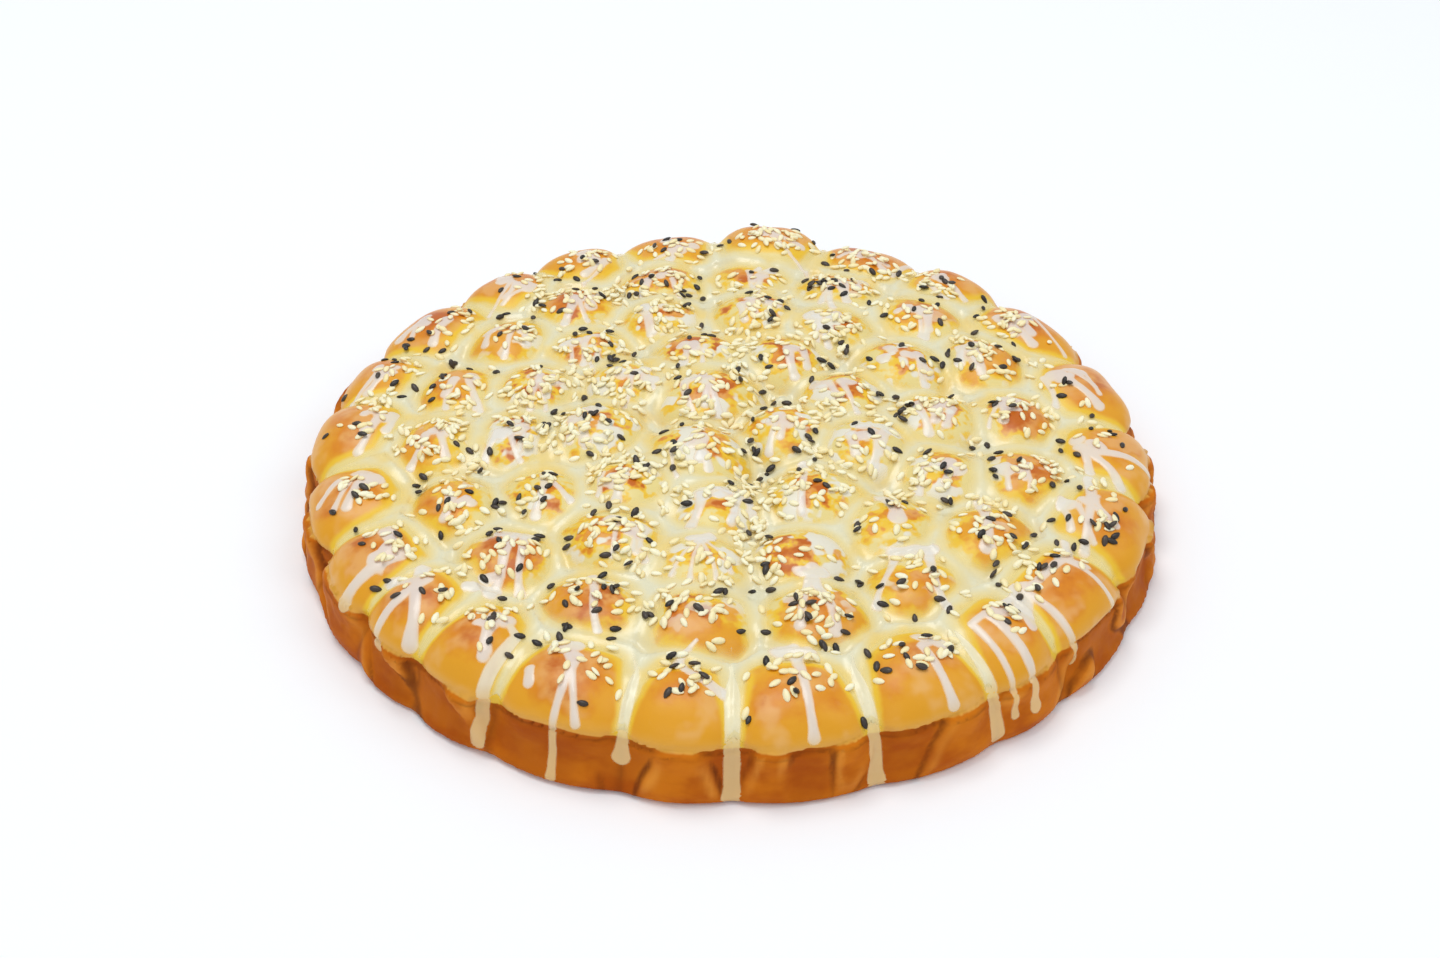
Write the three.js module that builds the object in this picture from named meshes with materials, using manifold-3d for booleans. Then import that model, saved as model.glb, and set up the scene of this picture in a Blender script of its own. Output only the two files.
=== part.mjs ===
// Honeycomb bun: one tray-baked round of dough balls with runs of glaze and seeds on top.
// Millimetres, +Z up. The origin is the middle of the flat underside.
// Polar angles are in degrees, counter-clockwise from +X, and -Y is the front.
import * as THREE from 'three';
import { mergeVertices } from 'three/addons/utils/BufferGeometryUtils.js';
import Module from 'manifold-3d';

const wasm = await Module();
wasm.setup();

const { clamp, degToRad, radToDeg, lerp, euclideanModulo } = THREE.MathUtils;

// The round as a whole: its radius at the table, and the band that the pan's wall shaped
const BASE_RADIUS = 118;
const BAND_HEIGHT = 15;
const BAND_TAPER = 5;
const BAND_CURVE = 1.4;
const EDGE_ROUND = 3;
const FLOOR_HEIGHT = 18;
const FLOOR_RADIUS = 0.88 * BASE_RADIUS;

// Outer ring of balls: the first crease between two balls, and the degrees that each ball takes
const FIRST_CREASE = 257;
const OUTER_SHARES = [13, 17, 16, 11, 17, 17, 16, 18, 20, 14, 19, 16, 18, 15, 14, 19, 14, 16, 16, 14, 11, 12, 17];
const OUTER_RADIUS = 0.85 * BASE_RADIUS;
const OUTER_CROWN = 24.5;
const TALL_BALL = { index: 11, extra: 2.5 };

// Inner rings of balls, with even shares
const INNER_RINGS = [
  { count: 18, radius: 0.67 * BASE_RADIUS, phase: 5, crown: 26 },
  { count: 14, radius: 0.49 * BASE_RADIUS, phase: 6, crown: 27 },
  { count: 9, radius: 0.31 * BASE_RADIUS, phase: 24, crown: 27.5 },
  { count: 3, radius: 0.13 * BASE_RADIUS, phase: 116, crown: 28 },
];

// One ball of dough: its half-axes, and how far it reaches past its own share
const BALL_DEPTH = 15.5;
const BALL_RISE = 13;
const BALL_OVERLAP = 4;
const BALL_SIDES = 9;
const BALL_RISES = [8, 38, 66];

// Unevenness of the balls: the most that each may differ
const PLACE_JITTER = 1.3;
const SIZE_JITTER = 0.06;
const CROWN_JITTER = 0.9;

// Creases in the baked side, deeper towards the top of the band
const CREASE_AT_BASE = 1.6;
const CREASE_AT_BAND = 4;
const SIDE_STEPS = 3;

// Runs of glaze down the outside. The top is a share of the base radius, the foot a height.
const RUN = { thickness: 1.1, shoulder: 0.955 * BASE_RADIUS, sides: 5, steps: 4 };
const FRONT_RUNS = [
  { angle: 212, top: 0.86, foot: 15, width: 3.4 },
  { angle: 225, top: 0.86, foot: 14, width: 2.8 },
  { angle: 240, top: 0.8, foot: 3, width: 3 },
  { angle: 250, top: 0.86, foot: 1.5, width: 2 },
  { angle: 257, top: 0.82, foot: 8, width: 3.4 },
  { angle: 270, top: 0.8, foot: 1.5, width: 4.8 },
  { angle: 279.5, top: 0.86, foot: 15, width: 2.9 },
  { angle: 287, top: 0.8, foot: 1.5, width: 3.8 },
  { angle: 297, top: 0.84, foot: 17, width: 3 },
  { angle: 303, top: 0.82, foot: 3, width: 3.6 },
  { angle: 308.5, top: 0.84, foot: 6, width: 2.6 },
  { angle: 318, top: 0.86, foot: 9, width: 2.2 },
];
const BACK_RUNS = { first: 356, count: 3, spacing: 72, top: 0.84, foot: 9, width: 2.8 };

// Seeds: half-axes, how far the middle sits below the crust, and how many
const SEED = { length: 1.75, width: 1.15, thickness: 1.3, sink: 0.45, sides: 6 };
const SEED_COUNT = 112;
const SEED_REACH = 0.93 * BASE_RADIUS;
const SEED_JITTER = 4;
const GOLDEN_ANGLE = 137.508;

// A repeatable draw between 0 and 1, by the minimal standard generator
const DRAW_FACTOR = 16807;
const DRAW_LIMIT = 2147483647;
let drawState = 20261;

function draw() {
  drawState = (drawState * DRAW_FACTOR) % DRAW_LIMIT;
  return drawState / DRAW_LIMIT;
}

function spread(most) {
  return (2 * draw() - 1) * most;
}

function polar(radius, angle, height = 0) {
  return new THREE.Vector3(radius * Math.cos(degToRad(angle)), radius * Math.sin(degToRad(angle)), height);
}

// The balls, outer ring first, each with its place, half-axes and crown height
function makeBalls() {
  const balls = [];
  let crease = FIRST_CREASE;
  OUTER_SHARES.forEach((share, index) => {
    balls.push({
      angle: crease + share / 2,
      radius: OUTER_RADIUS,
      depth: BALL_DEPTH,
      width: OUTER_RADIUS * Math.sin(degToRad(share / 2)) + BALL_OVERLAP,
      crown: OUTER_CROWN + spread(CROWN_JITTER) + (index === TALL_BALL.index ? TALL_BALL.extra : 0),
    });
    crease += share;
  });
  for (const ring of INNER_RINGS) {
    const half = ring.radius * Math.sin(Math.PI / ring.count);
    for (let i = 0; i < ring.count; i += 1) {
      balls.push({
        angle: ring.phase + 360 * i / ring.count + radToDeg(spread(PLACE_JITTER) / ring.radius),
        radius: ring.radius + spread(PLACE_JITTER),
        depth: BALL_DEPTH * (1 + spread(SIZE_JITTER)),
        width: (half + BALL_OVERLAP) * (1 + spread(SIZE_JITTER)),
        crown: ring.crown + spread(CROWN_JITTER),
      });
    }
  }
  return balls.map((ball) => ({
    ...ball,
    centre: polar(ball.radius, ball.angle),
    turn: 2 * Math.PI * draw() / BALL_SIDES,
  }));
}

const balls = makeBalls();

// Height of the dough between the balls, which falls from the floor to the top of the band
function floorAt(radius) {
  const edge = BASE_RADIUS - BAND_TAPER;
  return lerp(FLOOR_HEIGHT, BAND_HEIGHT, clamp((radius - FLOOR_RADIUS) / (edge - FLOOR_RADIUS), 0, 1));
}

// Height and outward normal of the crust over a point, from the highest ball there
function crustAt(x, y) {
  let best = { height: floorAt(Math.hypot(x, y)), normal: new THREE.Vector3(0, 0, 1) };
  for (const ball of balls) {
    const cosine = Math.cos(degToRad(ball.angle));
    const sine = Math.sin(degToRad(ball.angle));
    const dx = x - ball.centre.x;
    const dy = y - ball.centre.y;
    const u = (dx * cosine + dy * sine) / ball.depth;
    const v = (dy * cosine - dx * sine) / ball.width;
    const rise = Math.sqrt(Math.max(1 - u * u - v * v, 0));
    const height = ball.crown - BALL_RISE * (1 - rise);
    if (rise > 0 && height > best.height) {
      const along = u / ball.depth;
      const across = v / ball.width;
      const slope = [along * cosine - across * sine, along * sine + across * cosine, rise / BALL_RISE];
      best = { height, normal: new THREE.Vector3(...slope).normalize() };
    }
  }
  return best;
}

// How far the side dips inward at a share of the way from one crease to the next
function creaseDepth(share, height) {
  const fromCrease = 2 * Math.min(share, 1 - share);
  return lerp(CREASE_AT_BASE, CREASE_AT_BAND, Math.min(height / BAND_HEIGHT, 1)) * (1 - fromCrease) ** 2;
}

// A point on the baked side at an angle and a height
function sidePoint(angle, height) {
  let turned = euclideanModulo(angle - FIRST_CREASE, 360);
  let index = 0;
  while (turned >= OUTER_SHARES[index]) {
    turned -= OUTER_SHARES[index];
    index += 1;
  }
  const radius = BASE_RADIUS - BAND_TAPER * Math.min(height / BAND_HEIGHT, 1) ** BAND_CURVE;
  return polar(radius - creaseDepth(turned / OUTER_SHARES[index], height), angle, height);
}

// A closed three.js geometry as a solid that can be joined and cut
function toSolid(geometry) {
  const bare = geometry.clone();
  bare.deleteAttribute('normal');
  bare.deleteAttribute('uv');
  const merged = mergeVertices(bare);
  const { position } = merged.attributes;
  const triVerts = merged.index
    ? new Uint32Array(merged.index.array)
    : Uint32Array.from({ length: position.count }, (_, i) => i);
  return new wasm.Manifold(new wasm.Mesh({
    numProp: 3,
    vertProperties: new Float32Array(position.array),
    triVerts,
  }));
}

function toGeometry(solid) {
  const mesh = solid.getMesh();
  const geometry = new THREE.BufferGeometry();
  geometry.setAttribute('position', new THREE.BufferAttribute(new Float32Array(mesh.vertProperties), 3));
  geometry.setIndex(new THREE.BufferAttribute(new Uint32Array(mesh.triVerts), 1));
  geometry.computeVertexNormals();
  return geometry;
}

// All solids joined in pairs, so that each join stays small
function joinAll(solids) {
  let row = solids;
  while (row.length > 1) {
    const next = [];
    for (let i = 0; i < row.length; i += 2) {
      next.push(i + 1 < row.length ? row[i].add(row[i + 1]) : row[i]);
    }
    row = next;
  }
  return row[0];
}

// The largest shell of a joined solid, without the tiny hollows and scraps that joining can leave
function mainShell(solid) {
  return solid.decompose().reduce((best, shell) => (shell.volume() > best.volume() ? shell : best));
}

// The band under the balls: a turned solid, squeezed in at each crease between outer balls
function bandSolid() {
  const profile = [
    [0, 0],
    [BASE_RADIUS - EDGE_ROUND, 0],
    [BASE_RADIUS, EDGE_ROUND],
    [BASE_RADIUS, 0.6 * BAND_HEIGHT],
    [BASE_RADIUS, BAND_HEIGHT],
    [FLOOR_RADIUS, FLOOR_HEIGHT],
    [0, FLOOR_HEIGHT],
  ].map(([radius, height]) => new THREE.Vector2(radius, height));
  const segments = SIDE_STEPS * OUTER_SHARES.length;
  const geometry = new THREE.LatheGeometry(profile, segments);
  geometry.rotateX(Math.PI / 2);
  const { position } = geometry.attributes;
  for (let segment = 0; segment <= segments; segment += 1) {
    const ball = Math.floor(segment / SIDE_STEPS) % OUTER_SHARES.length;
    const crease = OUTER_SHARES.slice(0, ball).reduce((sum, share) => sum + share, FIRST_CREASE);
    const angle = crease + OUTER_SHARES[ball] * (segment % SIDE_STEPS) / SIDE_STEPS;
    profile.forEach((point, row) => {
      const dip = BASE_RADIUS - sidePoint(angle, point.y).setZ(0).length();
      const inside = point.x <= FLOOR_RADIUS;
      const place = polar(inside ? point.x : point.x - dip, angle, point.y);
      position.setXYZ(segment * profile.length + row, place.x, place.y, place.z);
    });
  }
  return toSolid(geometry);
}

// One ball: a turned dome, whose narrower foot stays inside the band
function ballSolid(ball) {
  const profile = [
    new THREE.Vector2(0, -0.5),
    ...BALL_RISES.map((rise) => new THREE.Vector2(Math.cos(degToRad(rise)), Math.sin(degToRad(rise)))),
    new THREE.Vector2(0, 1),
  ];
  const geometry = new THREE.LatheGeometry(profile, BALL_SIDES);
  geometry.rotateX(Math.PI / 2);
  geometry.rotateZ(ball.turn);
  geometry.scale(ball.depth, ball.width, BALL_RISE);
  geometry.rotateZ(degToRad(ball.angle));
  geometry.translate(ball.centre.x, ball.centre.y, ball.crown - BALL_RISE);
  return toSolid(geometry);
}

// A point of a run's way over the crust and then down the side, by its share of that way
function runPoint(run, share) {
  const top = run.top * BASE_RADIUS;
  const over = RUN.shoulder - top;
  const down = Math.max(BAND_HEIGHT + 2 - run.foot, 0);
  const along = share * (over + down);
  if (along <= over) {
    const place = polar(top + along, run.angle);
    return place.setZ(crustAt(place.x, place.y).height);
  }
  return sidePoint(run.angle, BAND_HEIGHT + 2 - (along - over));
}

// One run of glaze: a bead that follows the skin, sunk so that only its thickness stands proud
function runSolid(run) {
  const radius = run.width / 2;
  const sink = radius - RUN.thickness;
  const side = polar(1, run.angle + 90);
  const skin = [];
  for (let i = 0; i <= RUN.steps; i += 1) {
    skin.push(runPoint(run, i / RUN.steps));
  }
  const middle = skin.map((point, i) => {
    const tangent = skin[Math.min(i + 1, RUN.steps)].clone().sub(skin[Math.max(i - 1, 0)]);
    return point.clone().addScaledVector(tangent.cross(side).normalize(), sink);
  });
  const corners = [];
  for (let k = 0; k < RUN.sides; k += 1) {
    const turn = 2 * Math.PI * k / RUN.sides;
    corners.push(new THREE.Vector2(radius * Math.cos(turn), radius * Math.sin(turn)));
  }
  return toSolid(new THREE.ExtrudeGeometry(new THREE.Shape(corners), {
    steps: RUN.steps,
    bevelEnabled: false,
    extrudePath: new THREE.CatmullRomCurve3(middle),
  }));
}

function allRuns() {
  const runs = [...FRONT_RUNS];
  for (let i = 0; i < BACK_RUNS.count; i += 1) {
    runs.push({
      angle: BACK_RUNS.first + i * BACK_RUNS.spacing + spread(BACK_RUNS.spacing / 4),
      top: BACK_RUNS.top,
      foot: BACK_RUNS.foot + spread(6),
      width: BACK_RUNS.width + spread(0.8),
    });
  }
  return runs;
}

// One seed: a turned spindle laid flat on the crust and pointing any way
function seedSolid(x, y) {
  const { height, normal } = crustAt(x, y);
  const geometry = new THREE.LatheGeometry([
    new THREE.Vector2(0, -1),
    new THREE.Vector2(1, 0.15),
    new THREE.Vector2(0, 1),
  ], SEED.sides);
  geometry.scale(SEED.width, SEED.length, SEED.thickness);
  const heading = polar(1, 360 * draw());
  const lengthwise = heading.addScaledVector(normal, -heading.dot(normal)).normalize();
  const sideways = lengthwise.clone().cross(normal);
  const place = new THREE.Vector3(x, y, height).addScaledVector(normal, -SEED.sink);
  geometry.applyMatrix4(new THREE.Matrix4().makeBasis(sideways, lengthwise, normal).setPosition(place));
  return toSolid(geometry);
}

// Seeds spread evenly over the top by the golden angle, each moved a little
function seedSolids() {
  const seeds = [];
  for (let i = 0; i < SEED_COUNT; i += 1) {
    const place = polar(SEED_REACH * Math.sqrt((i + 0.5) / SEED_COUNT), GOLDEN_ANGLE * i);
    seeds.push(seedSolid(place.x + spread(SEED_JITTER), place.y + spread(SEED_JITTER)));
  }
  return seeds;
}

const dough = joinAll([bandSolid(), ...balls.map(ballSolid)]);
const bun = toGeometry(mainShell(joinAll([dough, ...allRuns().map(runSolid), ...seedSolids()])));
bun.computeBoundingBox();
const middle = bun.boundingBox.getCenter(new THREE.Vector3());
bun.translate(-middle.x, -middle.y, -bun.boundingBox.min.z);

const bunMesh = new THREE.Mesh(
  bun,
  new THREE.MeshStandardMaterial({ color: 0xe0a040, roughness: 0.45, metalness: 0 }),
);
bunMesh.name = 'bun';

const honeycombBun = new THREE.Group();
honeycombBun.add(bunMesh);

export default honeycombBun;
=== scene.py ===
"""The looks of a honeycomb bun: a round of baked dough balls, glazed and strewn with seeds.

Lengths are in millimetres while a piece is shaped and in metres in its mesh. +Z is up, and -Y is the
front. Polar angles are in degrees, counter-clockwise from +X.
"""

import logging
import math
from dataclasses import dataclass, field
from enum import Enum
from typing import Sequence

import bpy
import numpy as np
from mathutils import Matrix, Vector, noise
from mathutils.bvhtree import BVHTree


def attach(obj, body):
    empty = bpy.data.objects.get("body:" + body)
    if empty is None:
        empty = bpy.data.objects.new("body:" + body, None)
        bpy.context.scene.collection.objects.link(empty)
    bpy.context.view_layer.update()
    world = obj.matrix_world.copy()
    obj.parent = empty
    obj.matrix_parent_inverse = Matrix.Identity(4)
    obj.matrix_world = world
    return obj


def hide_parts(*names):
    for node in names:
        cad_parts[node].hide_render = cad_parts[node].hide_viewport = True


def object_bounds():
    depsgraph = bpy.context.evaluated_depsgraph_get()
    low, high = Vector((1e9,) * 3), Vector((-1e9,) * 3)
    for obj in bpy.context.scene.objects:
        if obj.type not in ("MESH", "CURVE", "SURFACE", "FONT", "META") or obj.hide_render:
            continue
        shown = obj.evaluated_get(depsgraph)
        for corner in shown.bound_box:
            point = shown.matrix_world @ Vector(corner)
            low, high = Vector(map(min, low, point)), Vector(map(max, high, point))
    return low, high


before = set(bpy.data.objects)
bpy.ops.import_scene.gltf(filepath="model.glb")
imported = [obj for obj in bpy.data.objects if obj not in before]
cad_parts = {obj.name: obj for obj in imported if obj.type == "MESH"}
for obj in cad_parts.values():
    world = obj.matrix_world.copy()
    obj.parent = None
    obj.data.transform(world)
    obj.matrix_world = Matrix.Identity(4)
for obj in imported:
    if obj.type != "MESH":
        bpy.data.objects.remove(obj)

CAD_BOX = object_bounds()
MM = 0.001
NODE = "bun"
BODY = "root"
DOWN = (0, 0, -1)
SKY = 60.0
FRONT = 270

log = logging.getLogger("honeycomb_bun")
Array = np.ndarray
Colour = tuple[float, float, float]


class Slot(Enum):
    """The record's material slots."""

    CRUST = "crust"
    GLAZE = "glaze"
    WHITE_SEED = "white_seed"
    BLACK_SEED = "black_seed"


class Part(Enum):
    """What is selected in edit mode."""

    POINTS = "VERT"
    FACES = "FACE"


class SeedKind(Enum):
    """The two kinds of seed."""

    WHITE = "white_seeds"
    BLACK = "black_seeds"


class Draws:
    """Repeatable draws between 0 and 1, by the minimal standard generator."""

    FACTOR = 16807
    LIMIT = 2147483647

    def __init__(self, state: int) -> None:
        """Starts the row of draws at a state."""
        self.state = state

    def draw(self) -> float:
        """Returns the next draw."""
        self.state = self.state * self.FACTOR % self.LIMIT
        return self.state / self.LIMIT

    def spread(self, most: float) -> float:
        """Returns a draw between minus and plus the most."""
        return (2 * self.draw() - 1) * most


@dataclass(frozen=True)
class Grain:
    """Smooth noise with features of one size in millimetres, read at a place of its own."""

    size: float
    place: float

    def at(self, points: Array) -> Array:
        """Samples the noise.

        Args:
            points: Rows of x, y and z, in millimetres.

        Returns:
            A number for each row, about -0.7 to 0.7.
        """
        rows = (points / self.size + self.place).tolist()
        return np.array([noise.noise(row) for row in rows])


def smoothstep(low: float, high: float, value: Array) -> Array:
    """Returns numbers eased from 0 at the low limit to 1 at the high one."""
    share = np.clip((value - low) / (high - low), 0, 1)
    return share * share * (3 - 2 * share)


def smooth_max(first: Array, second: Array, blend: float) -> Array:
    """Returns the larger of two fields, with a rounded join where they meet."""
    overlap = np.maximum(blend - np.abs(first - second), 0) / blend
    return np.maximum(first, second) + overlap * overlap * blend / 4


def bell(value: Array, middle: Array | float, width: float) -> Array:
    """Returns 1 at the middle, falling smoothly to nearly 0 at twice the width."""
    return np.exp(-(((value - middle) / width) ** 2))


def polar(radius: float, angle: float) -> tuple[float, float]:
    """Returns the x and y of a radius and an angle."""
    return radius * math.cos(math.radians(angle)), radius * math.sin(math.radians(angle))


def round_places(points: Array) -> tuple[Array, Array]:
    """Returns the radius and the polar angle of each row of x, y and z."""
    return np.hypot(points[:, 0], points[:, 1]), np.degrees(np.arctan2(points[:, 1], points[:, 0]))


def rows_of(x: Array, y: Array) -> Array:
    """Returns rows of x, y and 0."""
    return np.stack([x, y, np.zeros_like(x)], 1)


@dataclass(frozen=True)
class Ball:
    """One ball of dough: its place, half-axes and crown height."""

    angle: float
    radius: float
    depth: float
    width: float
    crown: float

    def spot(self) -> tuple[float, float]:
        """Returns the x and y of the middle."""
        return polar(self.radius, self.angle)

    def own_place(self, x: Array, y: Array) -> tuple[Array, Array]:
        """Measures places from the middle of the ball.

        Args:
            x: Places along X.
            y: Places along Y.

        Returns:
            How far outwards and how far aside each place is, 1 at the half-axes.
        """
        middle_x, middle_y = self.spot()
        cosine, sine = polar(1, self.angle)
        outward = ((x - middle_x) * cosine + (y - middle_y) * sine) / self.depth
        aside = ((y - middle_y) * cosine - (x - middle_x) * sine) / self.width
        return outward, aside

    def away(self, x: Array, y: Array) -> Array:
        """Returns the squared distance of places from the middle, 1 at the half-axes."""
        outward, aside = self.own_place(x, y)
        return outward * outward + aside * aside


@dataclass
class BunForm:
    """The round's driving sizes, as the solid model has them, and what follows from them.

    A span is the angle that an outer ball takes up, in degrees. An inner ring has its count of
    balls, its share of the base radius, the angle of its first ball and its crown height.
    """

    base_radius: float = 118.0
    band_height: float = 15.0
    band_taper: float = 5.0
    band_curve: float = 1.4
    floor_height: float = 18.0
    floor_share: float = 0.88
    first_crease: float = 257.0
    outer_spans: tuple[int, ...] = (
        13, 17, 16, 11, 17, 17, 16, 18, 20, 14, 19, 16, 18, 15, 14, 19, 14, 16, 16, 14, 11, 12, 17,
    )
    outer_share_of_radius: float = 0.85
    outer_crown: float = 24.5
    tall_ball: int = 11
    tall_extra: float = 2.5
    inner_rings: tuple[tuple[int, float, float, float], ...] = (
        (18, 0.67, 5, 26),
        (14, 0.49, 6, 27),
        (9, 0.31, 24, 27.5),
        (3, 0.13, 116, 28),
    )
    ball_depth: float = 15.5
    ball_rise: float = 13.0
    ball_overlap: float = 4.0
    place_jitter: float = 1.3
    size_jitter: float = 0.06
    crown_jitter: float = 0.9
    crease_at_base: float = 1.6
    crease_at_band: float = 2.6
    seed: int = 20261
    ring_middle_y: float = 1.147
    balls: list[Ball] = field(init=False)
    creases: Array = field(init=False)

    def __post_init__(self) -> None:
        """Works out the creases and the balls."""
        self.creases = np.cumsum((0,) + self.outer_spans)
        self.balls = self.make_balls()

    def make_balls(self) -> list[Ball]:
        """Places the balls with the solid's own order of draws.

        Returns:
            The balls, outer ring first.
        """
        draws = Draws(self.seed)
        balls = []
        ring_radius = self.outer_share_of_radius * self.base_radius
        for index, span in enumerate(self.outer_spans):
            balls.append(Ball(
                angle=self.first_crease + self.creases[index] + span / 2,
                radius=ring_radius,
                depth=self.ball_depth,
                width=ring_radius * math.sin(math.radians(span / 2)) + self.ball_overlap,
                crown=self.outer_crown + draws.spread(self.crown_jitter)
                + (self.tall_extra if index == self.tall_ball else 0),
            ))
        for count, share_of_radius, phase, crown in self.inner_rings:
            ring_radius = share_of_radius * self.base_radius
            half = ring_radius * math.sin(math.pi / count)
            for index in range(count):
                turn = math.degrees(draws.spread(self.place_jitter) / ring_radius)
                balls.append(Ball(
                    angle=phase + 360 * index / count + turn,
                    radius=ring_radius + draws.spread(self.place_jitter),
                    depth=self.ball_depth * (1 + draws.spread(self.size_jitter)),
                    width=(half + self.ball_overlap) * (1 + draws.spread(self.size_jitter)),
                    crown=crown + draws.spread(self.crown_jitter),
                ))
        return balls

    def arc(self, angle: Array) -> Array:
        """Returns how far round the base each angle is, in millimetres."""
        return np.radians(angle) * self.base_radius

    def domes(self, x: Array, y: Array) -> Array:
        """Works out how high each ball's dome is, carried on smoothly past the ball's edge.

        Args:
            x: Places along X.
            y: Places along Y.

        Returns:
            A row for each ball, with its height over each place.
        """
        away = np.stack([ball.away(x, y) for ball in self.balls])
        crowns = np.array([ball.crown for ball in self.balls])[:, None]
        return crowns - self.ball_rise * (away / 2 + away * away / 8)

    def along_crease(self, angle: Array) -> Array:
        """Finds how near angles are to the creases between the outer balls.

        Args:
            angle: Polar angles in degrees.

        Returns:
            1 at the creases, falling to 0 half way between.
        """
        turned = (angle - self.first_crease) % 360
        last = len(self.outer_spans) - 1
        index = np.clip(np.searchsorted(self.creases, turned, side="right") - 1, 0, last)
        share = (turned - self.creases[index]) / np.array(self.outer_spans)[index]
        return np.abs(2 * share - 1)

    def side_radius(self, angle: Array, height: Array) -> Array:
        """Works out the baked side, which narrows upwards and dips at the creases.

        Args:
            angle: Polar angles in degrees.
            height: Heights in millimetres.

        Returns:
            The radius of the side at each place.
        """
        rise = np.clip(height / self.band_height, 0, 1)
        dip = self.crease_at_base + (self.crease_at_band - self.crease_at_base) * rise
        dip = dip * self.along_crease(angle) ** 2
        return self.base_radius - self.band_taper * rise ** self.band_curve - dip


FORM = BunForm()


def deselect_all() -> None:
    """Leaves nothing selected, in object mode."""
    if bpy.context.object and bpy.context.object.mode != "OBJECT":
        bpy.ops.object.mode_set(mode="OBJECT")
    bpy.ops.object.select_all(action="DESELECT")


def pick(*pieces: bpy.types.Object) -> None:
    """Selects pieces and nothing else.

    Args:
        pieces: The pieces, with the one to make active first.
    """
    deselect_all()
    for piece in pieces:
        piece.select_set(True)
    bpy.context.view_layer.objects.active = pieces[0]


def finish_with(piece: bpy.types.Object, kind: str, **settings: object) -> None:
    """Adds a modifier and applies it.

    Args:
        piece: The piece to change.
        kind: The modifier's type.
        settings: The modifier's settings by name.
    """
    pick(piece)
    bpy.ops.object.modifier_add(type=kind)
    modifier = piece.modifiers[-1]
    for name, value in settings.items():
        setattr(modifier, name, value)
    bpy.ops.object.modifier_apply(modifier=modifier.name)


def copy_of(piece: bpy.types.Object, name: str) -> bpy.types.Object:
    """Copies a piece with a mesh of its own.

    Args:
        piece: The piece to copy.
        name: The copy's name.

    Returns:
        The copy.
    """
    pick(piece)
    bpy.ops.object.duplicate(linked=False)
    double = bpy.context.object
    double.name = double.data.name = name
    return double


def joined(pieces: Sequence[bpy.types.Object], name: str) -> bpy.types.Object:
    """Joins pieces into one with its place in its mesh.

    Args:
        pieces: The pieces to join.
        name: The name of the whole.

    Returns:
        The whole.
    """
    pick(*pieces)
    bpy.ops.object.join()
    bpy.ops.object.transform_apply(location=True, rotation=True, scale=True)
    whole = bpy.context.object
    whole.name = whole.data.name = name
    return whole


def points_of(piece: bpy.types.Object) -> Array:
    """Reads the points of a piece.

    Args:
        piece: The piece.

    Returns:
        Rows of x, y and z in millimetres, from the middle of the rings.
    """
    flat = np.zeros(len(piece.data.vertices) * 3, np.float32)
    piece.data.vertices.foreach_get("co", flat)
    points = flat.reshape(-1, 3).astype(float) / MM
    points[:, 1] -= FORM.ring_middle_y
    return points


def move_points(piece: bpy.types.Object, points: Array) -> None:
    """Sets the points of a piece.

    Args:
        piece: The piece.
        points: Rows of x, y and z in millimetres, from the middle of the rings.
    """
    places = points.copy()
    places[:, 1] += FORM.ring_middle_y
    piece.data.vertices.foreach_set("co", (places * MM).astype(np.float32).ravel())
    piece.data.update()


def normals_of(piece: bpy.types.Object) -> Array:
    """Reads the smooth normals of a piece.

    Args:
        piece: The piece.

    Returns:
        A row for each point.
    """
    flat = np.zeros(len(piece.data.vertices) * 3, np.float32)
    piece.data.vertex_normals.foreach_get("vector", flat)
    return flat.reshape(-1, 3).astype(float)


def numbers_of(items: bpy.types.bpy_prop_collection, name: str, width: int = 1) -> Array:
    """Reads a whole number, or a few, from each item of a mesh.

    Args:
        items: The mesh's edges or corners.
        name: What to read.
        width: How many numbers each item has.

    Returns:
        The numbers, in rows where an item has more than one.
    """
    flat = np.zeros(len(items) * width, np.int32)
    items.foreach_get(name, flat)
    return flat if width == 1 else flat.reshape(-1, width)


def note_on(piece: bpy.types.Object, name: str, values: Array) -> None:
    """Stores a number for each point of a piece, which materials read by its name."""
    attribute = piece.data.attributes.new(name, "FLOAT", "POINT")
    attribute.data.foreach_set("value", values.astype(np.float32))


def choose(piece: bpy.types.Object, part: Part, chosen: Array) -> None:
    """Selects some points or faces of a piece, in edit mode.

    Args:
        piece: The piece.
        part: Whether points or faces are chosen.
        chosen: True for each that is selected.
    """
    pick(piece)
    bpy.ops.object.mode_set(mode="EDIT")
    bpy.ops.mesh.select_mode(type=part.value)
    bpy.ops.mesh.select_all(action="DESELECT")
    bpy.ops.object.mode_set(mode="OBJECT")
    items = piece.data.vertices if part is Part.POINTS else piece.data.polygons
    items.foreach_set("select", chosen)
    bpy.ops.object.mode_set(mode="EDIT")


def keep_points(piece: bpy.types.Object, kept: Array) -> None:
    """Deletes the points of a piece that aren't kept, and the faces on them.

    Args:
        piece: The piece.
        kept: True for each point that is kept.
    """
    choose(piece, Part.POINTS, ~kept)
    bpy.ops.mesh.delete(type="VERT")
    bpy.ops.object.mode_set(mode="OBJECT")


def halve_grain(piece: bpy.types.Object) -> None:
    """Cuts every face of a piece into four.

    Args:
        piece: The piece.
    """
    pick(piece)
    bpy.ops.object.mode_set(mode="EDIT")
    bpy.ops.mesh.select_all(action="SELECT")
    bpy.ops.mesh.subdivide(number_cuts=1)
    bpy.ops.object.mode_set(mode="OBJECT")


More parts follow.
